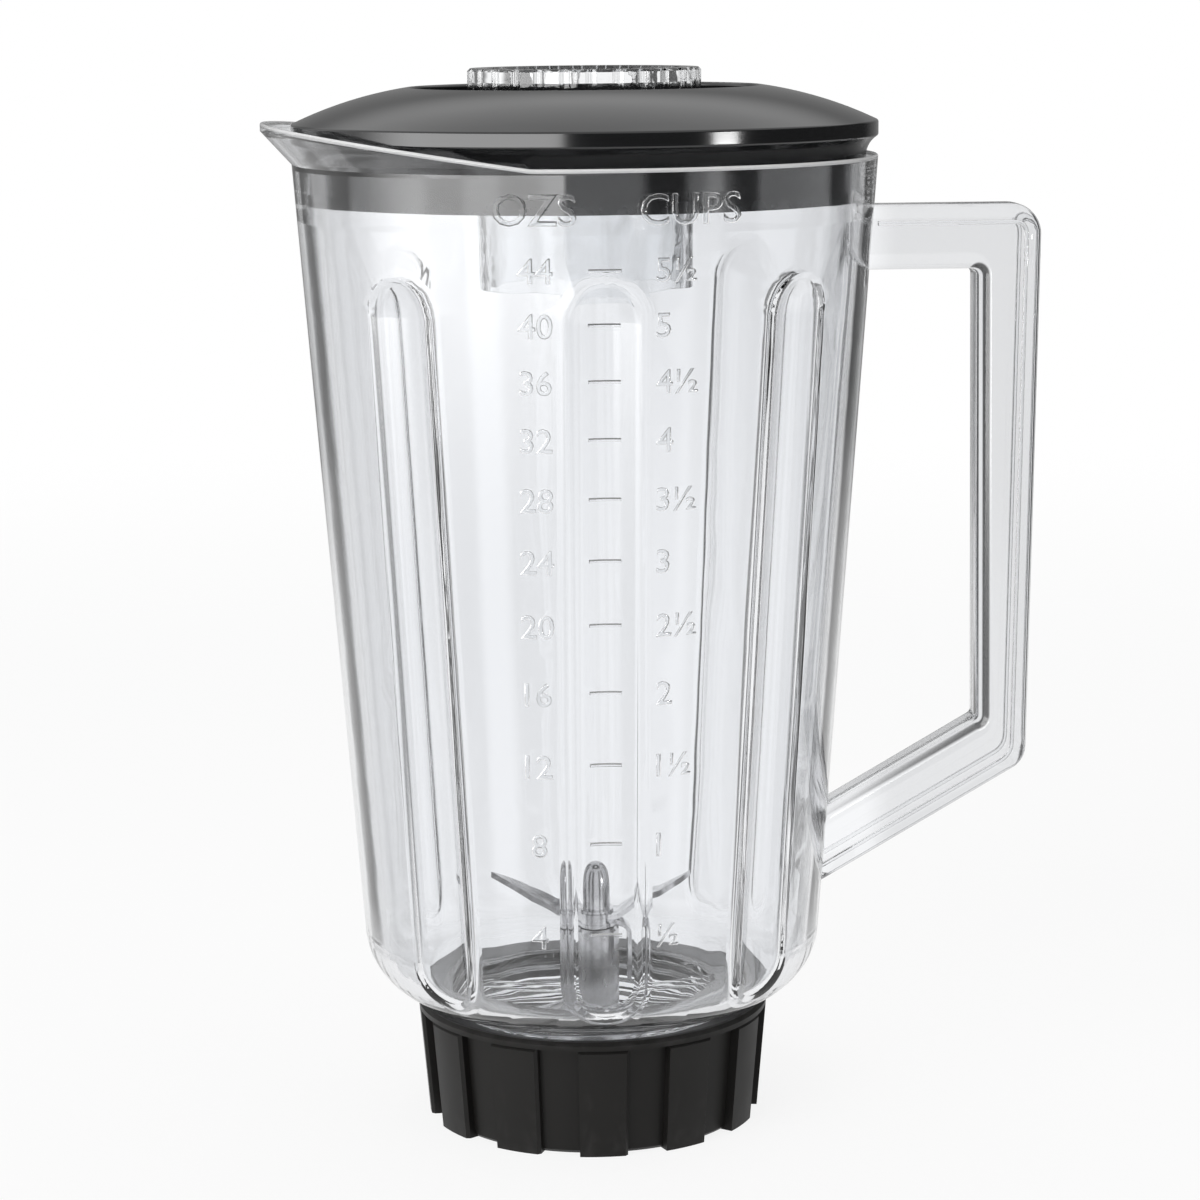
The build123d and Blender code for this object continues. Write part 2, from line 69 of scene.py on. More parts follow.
class Body(Enum):
    """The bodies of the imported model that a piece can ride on."""

    JAR = "jar"
    CUTTER = "cutter"


class Slot(Enum):
    """A material slot of the record. The new pieces here take their finish from their own Finish instead.
    """

    CLEAR = "clear_plastic"


class Ray(Enum):
    """Kinds of light path that the studio and the clear plastic answer differently."""

    CAMERA = "Is Camera Ray"
    GLOSSY = "Is Glossy Ray"
    TRANSMISSION = "Is Transmission Ray"
    SHADOW = "Is Shadow Ray"
    DIFFUSE = "Is Diffuse Ray"


class Lay(Enum):
    """Which way the brushed lines of a metal run."""

    AROUND = "around the axis"
    ACROSS = "across the blade"


class Graph:
    """Places and links nodes in one node tree."""

    def __init__(self, tree: bpy.types.NodeTree) -> None:
        """Start with an empty tree."""
        self.tree = tree
        tree.nodes.clear()

    def add(self, kind: str, feeds: Feeds | None = None, **settings: object) -> bpy.types.Node:
        """Place a node.

        Args:
            kind: Blender's name of the node type.
            feeds: what its inputs get, by their names or numbers.
            settings: attributes to set on the new node.

        Returns:
            The new node.
        """
        node = self.tree.nodes.new(kind)
        for name, value in settings.items():
            setattr(node, name, value)
        return self.feed(node, feeds or {})

    def feed(self, node: bpy.types.Node, feeds: Feeds) -> bpy.types.Node:
        """Link some of a node's inputs to other nodes' outputs, or set their constants.

        Args:
            node: the node to feed.
            feeds: an output socket, a number or a colour for each input, by its name or number.

        Returns:
            The node.
        """
        for key, value in feeds.items():
            socket = node.inputs[key]
            if isinstance(value, bpy.types.NodeSocket):
                self.tree.links.new(value, socket)
            else:
                socket.default_value = (*value, 1.0) if isinstance(value, tuple) else value
        return node

    def spot(self, coordinates: str = "Object") -> Socket:
        """Give the place that is shaded, in one of Blender's kinds of coordinates."""
        return self.add("ShaderNodeTexCoord").outputs[coordinates]

    def axes(self, coordinates: str = "Object") -> tuple[Socket, ...]:
        """Split the place that is shaded into its parts along X, Y and Z."""
        return tuple(self.add("ShaderNodeSeparateXYZ", {0: self.spot(coordinates)}).outputs)

    def math(self, operation: str, a: Socket | float, b: Socket | float = 0.0) -> Socket:
        """Work out one number from one or two, by an operation of the Math node."""
        return self.add("ShaderNodeMath", {0: a, 1: b}, operation=operation).outputs[0]

    def ramp(
        self,
        value: Socket,
        low: Socket | float,
        high: Socket | float,
        start: float = 0.0,
        end: float = 1.0,
    ) -> Socket:
        """Ease a number from start to end while a value goes from low to high."""
        feeds = {"Value": value, "From Min": low, "From Max": high, "To Min": start, "To Max": end}
        return self.add("ShaderNodeMapRange", feeds, interpolation_type="SMOOTHSTEP").outputs["Result"]

    def blend(self, share: Socket, a: Socket | float, b: Socket | float) -> Socket:
        """Mix two numbers: a at a share of 0, b at a share of 1."""
        feeds = {"Factor": share, "A": a, "B": b}
        return self.add("ShaderNodeMix", feeds, data_type="FLOAT").outputs["Result"]

    def tint(self, share: Socket, a: Socket | Colour, b: Socket | Colour) -> Socket:
        """Mix two colours.

        Args:
            share: how much of b the result has, from 0 to 1.
            a: the colour at a share of 0.
            b: the colour at a share of 1.

        Returns:
            The mixed colour's socket.
        """
        node = self.add("ShaderNodeMix", {"Factor": share}, data_type="RGBA")
        low, high = (key for key, socket in enumerate(node.inputs) if socket.type == "RGBA")
        self.feed(node, {low: a, high: b})
        return next(socket for socket in node.outputs if socket.type == "RGBA")

    def layer(self, share: Socket, under: bpy.types.Node, over: bpy.types.Node) -> bpy.types.Node:
        """Mix two surfaces: under at a share of 0, over at a share of 1."""
        return self.add("ShaderNodeMixShader", {0: share, 1: under.outputs[0], 2: over.outputs[0]})

    def noise(self, place: Socket, scale: Socket | float, detail: float) -> Socket:
        """Sample soft noise at a place, with scale features a metre and detail finer octaves."""
        feeds = {"Vector": place, "Scale": scale, "Detail": detail}
        return self.add("ShaderNodeTexNoise", feeds).outputs["Fac"]

    def bump(self, height: Socket, depth: float) -> Socket:
        """Turn a height from 0 to 1 into a shading normal, where 1 is depth in metres."""
        feeds = {"Strength": 1.0, "Distance": depth, "Height": height}
        return self.add("ShaderNodeBump", feeds).outputs["Normal"]

    def rays(self, *kinds: Ray) -> Socket:
        """Tell whether a ray is of one of some kinds.

        Args:
            kinds: the kinds of light path to answer.

        Returns:
            A socket that is 1 for those rays and 0 for others.
        """
        path = self.add("ShaderNodeLightPath")
        found = path.outputs[kinds[0].value]
        for kind in kinds[1:]:
            found = self.math("MAXIMUM", found, path.outputs[kind.value])
        return found


class Effect:
    """A shader node group that several finishes share, built the first time it is placed.

    Attributes:
        title: the group's name.
        inputs: the group's inputs with their usual values.
        output: the name of its one output.
    """

    title = "effect"
    inputs: tuple[tuple[str, float], ...] = ()
    output = "Value"

    def tree(self) -> bpy.types.NodeTree:
        """Give the node group, made on the first call.

        Returns:
            The shared node group.
        """
        made = bpy.data.node_groups.get(self.title)
        if made:
            return made
        made = bpy.data.node_groups.new(self.title, "ShaderNodeTree")
        for name, value in self.inputs:
            socket = made.interface.new_socket(name, in_out="INPUT", socket_type="NodeSocketFloat")
            socket.default_value = value
        made.interface.new_socket(self.output, in_out="OUTPUT", socket_type="NodeSocketFloat")
        graph = Graph(made)
        result = self.wire(graph, graph.add("NodeGroupInput").outputs)
        graph.add("NodeGroupOutput", {self.output: result})
        return made

    def wire(self, graph: Graph, given: bpy.types.NodeOutputs) -> Socket:
        """Lay out the group's own nodes.

        Args:
            graph: the group's node tree.
            given: the group's inputs by name.

        Returns:
            The socket that becomes the group's output.
        """
        raise NotImplementedError

    def place(self, graph: Graph, **values: float) -> Socket:
        """Put the group into a material with its own values, and give the group's output there."""
        return graph.add("ShaderNodeGroup", values, node_tree=self.tree()).outputs[self.output]


class MouldGrain(Effect):
    """The fine spark-eroded grain of a moulded surface.

    Attributes:
        coarse: scale of the coarse grain, as a share of the fine grain's.
    """

    title = "mould_grain"
    inputs = (("Scale", 2600.0), ("Fine", 0.7))
    output = "Height"
    coarse = 0.21

    def wire(self, graph: Graph, given: bpy.types.NodeOutputs) -> Socket:
        """Lay out the grain as two sizes of noise.

        Args:
            graph: the group's node tree.
            given: the group's inputs by name.

        Returns:
            The height's socket.
        """
        place = graph.spot()
        fine = graph.noise(place, given["Scale"], detail=3.0)
        coarse = graph.noise(place, graph.math("MULTIPLY", given["Scale"], self.coarse), detail=2.0)
        return graph.blend(given["Fine"], coarse, fine)


class EdgeWear(Effect):
    """Edges that handling has rubbed smooth and pale.

    Attributes:
        patches: noise values between which the wear sets in.
    """

    title = "edge_wear"
    inputs = (("Start", 0.53), ("End", 0.6), ("Break Scale", 260.0))
    output = "Mask"
    patches = (0.35, 0.65)

    def wire(self, graph: Graph, given: bpy.types.NodeOutputs) -> Socket:
        """Lay out the mask from the surface's pointedness, broken up by noise.

        Args:
            graph: the group's node tree.
            given: the group's inputs by name.

        Returns:
            The mask's socket.
        """
        sharp = graph.add("ShaderNodeNewGeometry").outputs["Pointiness"]
        edges = graph.ramp(sharp, given["Start"], given["End"])
        patchy = graph.ramp(graph.noise(graph.spot(), given["Break Scale"], detail=4.0), *self.patches)
        return graph.math("MULTIPLY", edges, patchy)


class Smudge(Effect):
    """Faint clouding where hands and cloths have been.

    Attributes:
        clouds: noise values between which the clouding sets in.
    """

    title = "smudge"
    inputs = (("Scale", 28.0), ("Low", 0.0), ("High", 0.1))
    clouds = (0.38, 0.72)

    def wire(self, graph: Graph, given: bpy.types.NodeOutputs) -> Socket:
        """Lay out soft clouds between the low and the high value."""
        clouds = graph.ramp(graph.noise(graph.spot(), given["Scale"], detail=2.0), *self.clouds)
        return graph.blend(clouds, given["Low"], given["High"])


class BrushLines(Effect):
    """Fine parallel lines left by turning or grinding a metal."""

    title = "brush_lines"
    inputs = (("Along", 8.0), ("Over", 900.0), ("Turned", 0.0))
    output = "Height"

    def wire(self, graph: Graph, given: bpy.types.NodeOutputs) -> Socket:
        """Lay out noise stretched along the lines, either round the axis or across the blades.

        Args:
            graph: the group's node tree.
            given: the group's inputs by name.

        Returns:
            The height's socket.
        """
        x, y, z = graph.axes()
        along = graph.math("MULTIPLY", y, given["Along"])
        over_x, over_z = (graph.math("MULTIPLY", part, given["Over"]) for part in (x, z))
        heights = []
        for stretched in ((over_x, along, over_z), (along, along, over_z)):
            place = graph.add("ShaderNodeCombineXYZ", dict(enumerate(stretched))).outputs[0]
            heights.append(graph.noise(place, scale=1.0, detail=2.0))
        return graph.blend(given["Turned"], *heights)


class ThreadRipple(Effect):
    """The neck's screw thread, seen through the clear wall as ripples."""

    title = "thread_ripple"
    inputs = (("Top", 0.027), ("Pitch", 0.0034))
    output = "Height"

    def wire(self, graph: Graph, given: bpy.types.NodeOutputs) -> Socket:
        """Lay out waves up the axis that end at the top of the thread.

        Args:
            graph: the group's node tree.
            given: the group's inputs by name.

        Returns:
            The height's socket.
        """
        x, y, z = graph.axes()
        lead = graph.math("DIVIDE", graph.math("ARCTAN2", x, y), math.tau)
        turns = graph.math("ADD", graph.math("DIVIDE", z, given["Pitch"]), lead)
        wave = graph.math("SINE", graph.math("MULTIPLY", turns, math.tau))
        return graph.math("MULTIPLY", wave, graph.math("LESS_THAN", z, given["Top"]))


class ThickPlastic(Effect):
    """Where the moulding is thick: the solid handle that stands off the thin wall."""

    title = "thick_plastic"
    inputs = (("Start", 0.062), ("End", 0.07))
    output = "Mask"

    def wire(self, graph: Graph, given: bpy.types.NodeOutputs) -> Socket:
        """Lay out a mask that rises from the wall towards the handle."""
        return graph.ramp(graph.axes()[0], given["Start"], given["End"])


@dataclass(frozen=True)
class Finish:
    """A surface finish that becomes one material.

    Attributes:
        name: the material's name.
        colour: the base colour, in linear light.
    """

    name: str
    colour: Colour

    @cache
    def material(self) -> bpy.types.Material:
        """Give the finish's material, made on the first call.

        Returns:
            The material.
        """
        made = bpy.data.materials.new(self.name)
        made.use_nodes = True
        made.diffuse_color = (*self.colour, 1.0)
        graph = Graph(made.node_tree)
        shader = graph.add("ShaderNodeBsdfPrincipled", {"Base Color": self.colour})
        graph.add("ShaderNodeOutputMaterial", {"Surface": self.wire(graph, shader)})
        return made

    def wire(self, graph: Graph, shader: bpy.types.Node) -> Socket:
        """Set the shader up for this finish.

        Args:
            graph: the material's node tree.
            shader: the material's Principled BSDF.

        Returns:
            The finished surface's socket.
        """
        raise NotImplementedError


@dataclass(frozen=True)
class ClearPlastic(Finish):
    """Clear moulded polycarbonate.

    Attributes:
        haze: roughness where the surface is clouded, or 0 for a polished one.
        ripple: depth of the moulding's slow waves, in metres.
        ripple_scale: waves per metre.
        shade: share of the light that the piece lets through to what it covers.
        thread: depth of the neck's thread, in ripples.
        edge: brightness that the colour falls to where the surface is seen edge-on, as painted shade on the
            outlines.
        edge_shade_power: how close to edge-on the painted shade begins.
        thick: brightness that the colour falls to in the solid handle.
        clarity: share of the surface that is clear, not milky.
        painted_glow: strength of a white emission, painted light that brightens the surface though the
            piece is no lamp.
        ior: refractive index.
    """

    haze: float
    ripple: float = 0.000004
    ripple_scale: float = 400.0
    shade: float = 0.9
    thread: float = 0.0
    edge: float = 1.0
    edge_shade_power: float = 3.0
    thick: float = 1.0
    clarity: float = 1.0
    painted_glow: float = 0.0
    ior: float = 1.585

    def dimmed(self, share: float) -> Colour:
        """Give the colour at a share of its brightness."""
        return tuple(part * share for part in self.colour)

    def tint_and_edge_shade(self, graph: Graph) -> Socket:
        """Darken the colour in the solid handle, and paint shade on it where the surface is seen edge-on.

        Args:
            graph: the material's node tree.

        Returns:
            The colour's socket.
        """
        body: Socket | Colour = self.colour
        if self.thick < 1.0:
            body = graph.tint(ThickPlastic().place(graph), body, self.dimmed(self.thick))
        # Painted shade: the colour darkens where the surface is seen edge-on.
        facing = graph.add("ShaderNodeLayerWeight").outputs["Facing"]
        turned = graph.math("POWER", facing, self.edge_shade_power)
        return graph.tint(turned, body, self.dimmed(self.edge))

    def wire(self, graph: Graph, shader: bpy.types.Node) -> Socket:
        """Make a refracting surface with slow ripples, open to light from the lamps.

        Args:
            graph: the material's node tree.
            shader: the material's Principled BSDF.

        Returns:
            The finished surface's socket.
        """
        height = graph.noise(graph.spot(), self.ripple_scale, detail=1.0)
        if self.thread:
            thread = graph.math("MULTIPLY", ThreadRipple().place(graph), self.thread)
            height = graph.math("ADD", height, thread)
        feeds = {
            "Transmission Weight": self.clarity,
            "IOR": self.ior,
            # Painted light: white emission that lights the surface from within, though the piece is no
            # lamp.
            "Emission Color": WHITE,
            "Emission Strength": self.painted_glow,
            "Roughness": Smudge().place(graph, Low=0.0, High=self.haze) if self.haze else 0.0,
            "Normal": graph.bump(height, self.ripple),
        }
        if self.edge < 1.0:
            feeds["Base Color"] = self.tint_and_edge_shade(graph)
        graph.feed(shader, feeds)
        clear = graph.add("ShaderNodeBsdfTransparent", {"Color": (self.shade, self.shade, self.shade)})
        return graph.layer(graph.rays(Ray.SHADOW, Ray.DIFFUSE), shader, clear).outputs[0]


@dataclass(frozen=True)
class MouldedPlastic(Finish):
    """Opaque moulded plastic or rubber.

    Attributes:
        worn: the colour of rubbed edges.
        roughness: lowest and highest roughness.
        grain: depth of the grain, in metres.
        grain_scale: grains per metre.
        wear: pointedness at which the wear starts and is complete.
        ior: refractive index.
    """

    worn: Colour
    roughness: tuple[float, float]
    grain: float
    grain_scale: float
    wear: tuple[float, float] = (0.53, 0.62)
    ior: float = 1.5

    def wire(self, graph: Graph, shader: bpy.types.Node) -> Socket:
        """Make a grained surface with pale edges and uneven gloss.

        Args:
            graph: the material's node tree.
            shader: the material's Principled BSDF.

        Returns:
            The finished surface's socket.
        """
        (start, end), (low, high) = self.wear, self.roughness
        edges = EdgeWear().place(graph, Start=start, End=end)
        feeds = {
            "IOR": self.ior,
            "Base Color": graph.tint(edges, self.colour, self.worn),
            "Roughness": Smudge().place(graph, Low=low, High=high),
            "Normal": graph.bump(MouldGrain().place(graph, Scale=self.grain_scale), self.grain),
        }
        return graph.feed(shader, feeds).outputs[0]


@dataclass(frozen=True)
class Metal(Finish):
    """Turned or ground metal.

    Attributes:
        bright: the colour of polished edges.
        roughness: lowest and highest roughness.
        lines: depth of the brushed lines, in metres.
        lay: which way the lines run.
        wear: pointedness at which the polish starts and is complete.
        cloud_scale: patches of uneven gloss per metre.
    """

    bright: Colour
    roughness: tuple[float, float]
    lines: float
    lay: Lay
    wear: tuple[float, float] = (0.52, 0.58)
    cloud_scale: float = 160.0

    def wire(self, graph: Graph, shader: bpy.types.Node) -> Socket:
        """Make a brushed metal with polished edges.

        Args:
            graph: the material's node tree.
            shader: the material's Principled BSDF.

        Returns:
            The finished surface's socket.
        """
        (start, end), (low, high) = self.wear, self.roughness
        edges = EdgeWear().place(graph, Start=start, End=end)
        lines = BrushLines().place(graph, Turned=1.0 if self.lay is Lay.AROUND else 0.0)
        feeds = {
            "Metallic": 1.0,
            "Base Color": graph.tint(edges, self.colour, self.bright),
            "Roughness": Smudge().place(graph, Scale=self.cloud_scale, Low=low, High=high),
            "Normal": graph.bump(lines, self.lines),
        }
        return graph.feed(shader, feeds).outputs[0]


@dataclass(frozen=True)
class Fibre(Finish):
    """Pressed felt.

    Attributes:
        pale: the colour of the fibres that stand out.
        nap: depth of the fibres, in metres.
        fibre_scale: fibres per metre.
        fine: share of fine fibres.
        roughness: roughness of the felt.
    """

    pale: Colour
    nap: float
    fibre_scale: float = 5200.0
    fine: float = 0.85
    roughness: float = 0.95

    def wire(self, graph: Graph, shader: bpy.types.Node) -> Socket:
        """Make a matt, fibrous surface.

        Args:
            graph: the material's node tree.
            shader: the material's Principled BSDF.

        Returns:
            The finished surface's socket.
        """
        fibres = MouldGrain().place(graph, Scale=self.fibre_scale, Fine=self.fine)
        feeds = {
            "Roughness": self.roughness,
            "Base Color": graph.tint(fibres, self.colour, self.pale),
            "Normal": graph.bump(fibres, self.nap),
        }
        return graph.feed(shader, feeds).outputs[0]


JAR_CLEAR = ClearPlastic(
    "jar_clear",
    (0.925, 0.934, 0.95),
    haze=0.0,
    ripple=0.00002,
    ripple_scale=90.0,
    shade=0.92,
    thread=14.0,
    # Painted shade: the colour falls to a quarter of its brightness where the wall is seen edge-on.
    edge=0.25,
    thick=0.84,
)
# Painted shade: the cap's colour falls where it is seen edge-on.
CAP_CLEAR = ClearPlastic(
    "cap_clear", (0.955, 0.963, 0.97), haze=0.04, ripple=0.00005, ripple_scale=320.0, edge=0.4
)
MARK_CLEAR = ClearPlastic("mark_clear", (0.95, 0.955, 0.96), haze=0.08)
# Painted light: the thread is mostly milky white and emits light, so that it shows as pale ripples through
# the neck.
THREAD_PAINTED_GLOW = ClearPlastic("thread_painted_glow", (0.95, 0.95, 0.95), haze=0.3, clarity=0.25, painted_glow=0.6)
# Painted highlight: the rim bead is partly milky white, so that it shows as a bright line along the rim.
RIM_PAINTED_HIGHLIGHT = ClearPlastic("rim_painted_highlight", (0.99, 0.99, 0.99), haze=0.2, clarity=0.45)
LID_BLACK = MouldedPlastic(
    "lid_gloss",
    (0.010, 0.0104, 0.011),
    worn=(0.035, 0.036, 0.038),
    roughness=(0.09, 0.15),
    grain=0.0000015,
    grain_scale=2200.0,
    ior=1.6,
)
COLLAR_BLACK = MouldedPlastic(
    "collar_satin",
    (0.0095, 0.0089, 0.0082),
    worn=(0.03, 0.029, 0.028),
    roughness=(0.42, 0.56),
    grain=0.000012,
    grain_scale=2600.0,
    ior=1.3,
)
GASKET_RUBBER = MouldedPlastic(
    "gasket_matt",
    (0.32, 0.32, 0.31),
    worn=(0.42, 0.42, 0.41),
    roughness=(0.55, 0.7),
    grain=0.000008,
    grain_scale=1800.0,
)
SEAL_RUBBER = MouldedPlastic(
    "seal_matt",
    (0.014, 0.014, 0.015),
    worn=(0.05, 0.05, 0.05),
    roughness=(0.5, 0.65),
    grain=0.000006,
    grain_scale=2400.0,
)
STEEL_TURNED = Metal(
    "steel_turned",
    (0.52, 0.52, 0.53),
    bright=(0.72, 0.72, 0.73),
    roughness=(0.16, 0.3),
    lines=0.000004,
    lay=Lay.AROUND,
)
STEEL_GROUND = Metal(
    "steel_ground",
    (0.5, 0.5, 0.51),
    bright=(0.75, 0.75, 0.76),
    roughness=(0.14, 0.28),
    lines=0.000003,
    lay=Lay.ACROSS,
)
BRONZE = Metal(
    "bronze_oiled",
    (0.46, 0.27, 0.12),
    bright=(0.66, 0.42, 0.2),
    roughness=(0.3, 0.45),
    lines=0.000005,
    lay=Lay.AROUND,
)
OIL_FELT = Fibre("felt_oiled", (0.32, 0.27, 0.18), pale=(0.6, 0.54, 0.42), nap=0.00012)


@dataclass
class SubAssembly:
    """Some pieces of the jar that belong together.

    Attributes:
        title: what the group is called in the log.
        body: the body that the group moves with.
        finishes: each carried-over node with its finish.
    """

    title: str
    body: Body
    finishes: dict[str, Finish]

    def build(self) -> list[bpy.types.Object]:
        """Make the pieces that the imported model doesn't hold, none unless a group says so."""
        return []

    def dress(self) -> None:
        """Give each carried-over node its finish."""
        for node, finish in self.finishes.items():
            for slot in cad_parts[node].material_slots:
                slot.material = finish.material()
            LOG.info("%s, body %s: %s dressed in %s", self.title, self.body.value, node, finish.name)


def mesh_object(
    name: str,
    mesh: bpy.types.Mesh,
    finish: Finish,
    body: Body = Body.JAR,
) -> bpy.types.Object:
    """Put a mesh into the scene as a piece of the jar.

    Args:
        name: the piece's name.
        mesh: its mesh, in place, in metres.
        finish: its surface.
        body: the body that carries it.

    Returns:
        The new object.
    """
    piece = bpy.data.objects.new(name, mesh)
    bpy.context.scene.collection.objects.link(piece)
    mesh.materials.append(finish.material())
    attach(piece, body.value)
    return piece


def skin(rings: list[list[Vector]], closed: bool) -> bpy.types.Mesh:
    """Join a row of rings into a tube.

    Args:
        rings: the rings' points, in metres, the same number in each.
        closed: whether the last ring joins the first, where the tube otherwise gets flat ends.

    Returns:
        The tube's mesh.
    """
    count, sides = len(rings), len(rings[0])
    faces = []
    for step in range(count if closed else count - 1):
        after = (step + 1) % count
        for side in range(sides):
            beside = (side + 1) % sides
            corners = ((step, side), (after, side), (after, beside), (step, beside))
            faces.append([row * sides + column for row, column in corners])
    if not closed:
        faces.append(list(range(sides)))
        faces.append([(count - 1) * sides + side for side in reversed(range(sides))])
    mesh = bpy.data.meshes.new("tube")
    mesh.from_pydata([point for ring in rings for point in ring], [], faces)
    return mesh


def ellipse(middle: Vector, out: Vector, up: Vector, sides: int) -> list[Vector]:
    """Set points round an ellipse.

    Args:
        middle: its centre.
        out: its first half axis.
        up: its second half axis.
        sides: number of points.

    Returns:
        The points in order.
    """
    leans = (math.tau * side / sides for side in range(sides))
    return [middle + out * math.cos(lean) + up * math.sin(lean) for lean in leans]


def tube_object(name: str, rings: list[list[Vector]], closed: bool, finish: Finish) -> bpy.types.Object:
    """Put a smooth tube into the scene as a piece of the jar.

    Args:
        name: the piece's name.
        rings: the tube's rings, in metres.
        closed: whether the last ring joins the first.
        finish: its surface.

    Returns:
        The new object.
    """
    mesh = skin(rings, closed)
    mesh.shade_smooth()
    return mesh_object(name, mesh, finish)


@dataclass
class MeasuringScale:
    """The moulded scale on the front of the jar: two columns of numbers and a ladder of ticks.

    All lengths are in millimetres, across the front and up from the collar's foot.

    Attributes:
        base_height: height of the scale's zero.
        height_step: rise of the scale with the measure to the power of height_power.
        height_power: how the rise slows as the jar widens.
        ounces: the measures that get a row, in fluid ounces.
        ounces_per_cup: fluid ounces in one cup.
        ounce_x: middle of the ounce column.
        cup_x: left edge of the cup column.
        cup_head_x: middle of the word over the cup column.
        digit: height of the numbers.
        head: height of the words over the columns.
        head_rise: height of the words over the top row.
        tick: width and height of a tick.
        tick_steps: lengths that a tick is cut into, to follow the flute.
        slant: how far a tick's sides lean in.
        curve_steps: points on each bend of a letter.
        rounding: rounding of the letters' edges, where the type size is 1.
        weld: distance under which a letter's points become one, in the same measure.
        relief: how far the marks stand out.
        air: gap between a mark's back and the wall.
    """

    base_height: float = 21.6
    height_step: float = 12.5
    height_power: float = 0.7
    ounces: range = range(4, 45, 4)
    ounces_per_cup: int = 8
    ounce_x: float = -14.2
    cup_x: float = 10.6
    cup_head_x: float = 17.9
    digit: float = 5.2
    head: float = 6.6
    head_rise: float = 12.4
    tick: tuple[float, float] = (6.8, 0.8)
    tick_steps: int = 12
    slant: float = 0.25
    curve_steps: int = 3
    rounding: float = 0.03
    weld: float = 1e-5
    relief: float = 0.45
    air: float = 0.04

    def row_height(self, ounces: float) -> float:
        """Give the height of the line for a measure, in millimetres."""
        return self.base_height + self.height_step * ounces**self.height_power

    def cup_label(self, ounces: int) -> str:
        """Write a measure in cups, with a half where it needs one."""
        whole, rest = divmod(ounces, self.ounces_per_cup)
        return f"{whole or ''}{'½' if rest else ''}"

    def flat_word(self, word: str, height: float, x: float, z: float, centred: bool) -> bmesh.types.BMesh:
        """Set a word along the XZ plane, with its relief along Y.

        Args:
            word: the letters or digits.
            height: height of the capitals.
            x: middle or left edge of the word.
            z: middle of its height.
            centred: whether x is the middle.

        Returns:
            The word's solid letters.
        """
        curve = bpy.data.curves.new("word", "FONT")
        curve.body = word
        curve.resolution_u = self.curve_steps
        curve.extrude, curve.bevel_depth = self.rounding / 2, self.rounding
        curve.bevel_resolution = 1
        curve.offset = -self.rounding / 2
        holder = bpy.data.objects.new("word", curve)
        bpy.context.scene.collection.objects.link(holder)
        bpy.context.view_layer.update()
        shaped = holder.evaluated_get(bpy.context.evaluated_depsgraph_get())
        filled = bpy.data.meshes.new_from_object(shaped)
        bpy.data.objects.remove(holder)
        bpy.data.curves.remove(curve)
        outline = bmesh.new()
        outline.from_mesh(filled)
        bpy.data.meshes.remove(filled)
        bmesh.ops.remove_doubles(outline, verts=outline.verts, dist=self.weld)
        (left, low, back), (right, high, front) = (
            [pick(v.co[axis] for v in outline.verts) for axis in range(3)] for pick in (min, max)
        )
        grow = height / (high - low)
        start = x - (right - left) * grow / 2 if centred else x
        for vert in outline.verts:
            across, up, out = vert.co
            lift = self.relief * (out - back) / (front - back)
            rise = z + (up - (low + high) / 2) * grow
            vert.co = Vector((start + (across - left) * grow, lift, rise)) * MM
        return outline

    def flat_tick(self, z: float) -> bmesh.types.BMesh:
        """Set one tick along the XZ plane, cut fine enough to follow the flute.

        Args:
            z: middle of its height.

        Returns:
            The tick as a solid bar.
        """
        width, height = self.tick
        half = height / 2
        face = half - self.slant
        section = ((-half, 0.0), (-face, self.relief), (face, self.relief), (half, 0.0))
        places = (width * (step / self.tick_steps - 0.5) for step in range(self.tick_steps + 1))
        rings = [[Vector((x, lift, z + up)) * MM for up, lift in section] for x in places]
        bar = skin(rings, closed=False)
        outline = bmesh.new()
        outline.from_mesh(bar)
        bpy.data.meshes.remove(bar)
        return outline

    def raise_on(self, wall: BVHTree, outline: bmesh.types.BMesh) -> None:
        """Lay a mark on the jar's wall.

        Args:
            wall: the jar's surface.
            outline: the mark along the XZ plane, bent in place so that it follows the wall.
        """
        front = Vector((0.0, -1.0, 0.0))
        for vert in outline.verts:
            start = front + Vector((vert.co.x, 0.0, vert.co.z))
            hit, normal, _, _ = wall.ray_cast(start, -front)
            vert.co = hit + normal * (self.air * MM + vert.co.y)
        bmesh.ops.recalc_face_normals(outline, faces=outline.faces)

    def mark_object(
        self, name: str, outlines: Iterable[bmesh.types.BMesh], wall: BVHTree
    ) -> bpy.types.Object:
        """Join some marks into one piece.

        Args:
            name: the piece's name.
            outlines: the flat marks.
            wall: the jar's surface.

        Returns:
            The new piece.
        """
        mesh = bpy.data.meshes.new(name)
        whole = bmesh.new()
        for outline in outlines:
            self.raise_on(wall, outline)
            part = bpy.data.meshes.new("mark")
            outline.to_mesh(part)
            outline.free()
            whole.from_mesh(part)
            bpy.data.meshes.remove(part)
        whole.to_mesh(mesh)
        whole.free()
        return mesh_object(name, mesh, MARK_CLEAR)

    def build(self, wall: BVHTree) -> list[bpy.types.Object]:
        """Make the whole scale.

        Args:
            wall: the jar's surface.

        Returns:
            The scale's pieces.
        """
        rows = [(ounces, self.row_height(ounces)) for ounces in self.ounces]
        head_z = rows[-1][1] + self.head_rise
        marks = {
            "scale_ounces": [
                self.flat_word(str(n), self.digit, self.ounce_x, z, centred=True) for n, z in rows
            ],
            "scale_cups": [
                self.flat_word(self.cup_label(n), self.digit, self.cup_x, z, centred=False) for n, z in rows
            ],
            "scale_ticks": [self.flat_tick(z) for _, z in rows],
            "scale_words": [
                self.flat_word("OZS", self.head, self.ounce_x, head_z, centred=True),
                self.flat_word("CUPS", self.head, self.cup_head_x, head_z, centred=True),
            ],
        }
        return [self.mark_object(name, outlines, wall) for name, outlines in marks.items()]


